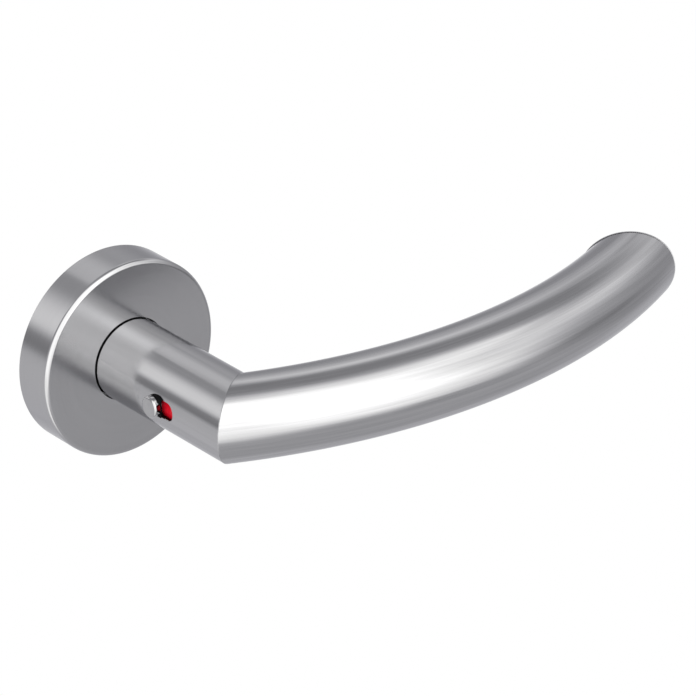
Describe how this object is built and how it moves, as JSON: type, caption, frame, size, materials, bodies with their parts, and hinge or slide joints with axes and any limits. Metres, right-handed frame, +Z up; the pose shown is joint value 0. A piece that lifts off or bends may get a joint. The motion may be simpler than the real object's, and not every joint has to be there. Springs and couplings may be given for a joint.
{
  "type": "door lever handle",
  "caption": "Tubular door lever with mitred, bowed grip on a round rose; turns down against a spring, with a thumb slide in the neck that locks it and a red signal.",
  "frame": {"origin": "centre of the rose on the door's face", "axes": "+Y points into the door, the neck stands out along -Y, +X runs from the neck towards the end of the grip, +Z is up"},
  "size_m": [0.1642, 0.0975, 0.052],
  "materials": {
    "satin_steel": "satin brushed stainless steel",
    "zinc_casting": "tumbled zinc die casting",
    "plated_steel": "bright zinc plated steel",
    "spring_steel": "oiled spring steel",
    "white_pom": "natural acetal",
    "black_nylon": "black nylon",
    "red_signal": "red signal inlay",
    "polished_steel": "polished stainless steel",
    "spindle_steel": "zinc plated square bar",
    "black_steel": "black oxide steel"
  },
  "bodies": {
    "rose": {"base_plate": "zinc_casting", "lug_sleeves": "plated_steel", "wood_screws": "plated_steel", "bearing_bush": "white_pom", "back_washer": "plated_steel", "lock_ring": "plated_steel", "lock_ring_screws": "plated_steel", "return_spring": "spring_steel", "cover_snap_ring": "spring_steel"},
    "cover": {"rose_cover": "satin_steel", "guide_ring": "black_nylon"},
    "lever": {"neck_tube": "satin_steel", "neck_core": "zinc_casting", "neck_ring": "black_nylon", "driver_disc": "plated_steel", "circlip": "spring_steel", "spindle": "spindle_steel", "grub_screw": "black_steel", "grip_tube": "satin_steel", "end_cap": "satin_steel", "detent_spring": "spring_steel", "detent_screw": "black_steel"},
    "lock_slide": {"lock_slider": "black_nylon", "thumb_pin": "polished_steel", "pin_collar": "black_nylon", "red_indicator": "red_signal", "lock_bolt": "black_steel"}
  },
  "joints": [
    {"name": "lever_turn", "type": "hinge", "parent": "rose", "child": "lever", "pos_m": [0, 0, 0], "axis": [0, 1, 0], "range_deg": [0, 45], "stiffness_Nm_per_rad": 0.8, "springref_deg": -34.38, "deforming": ["return_spring"]},
    {"name": "lock_slide", "type": "slide", "parent": "lever", "child": "lock_slide", "axis": [0, -1, 0], "range_m": [0, 0.0042], "deforming": ["detent_spring"]},
    {"name": "cover_slide", "type": "slide", "parent": "rose", "child": "cover", "axis": [0, -1, 0], "range_m": [0, 0.019], "deforming": ["cover_snap_ring"]}
  ]
}
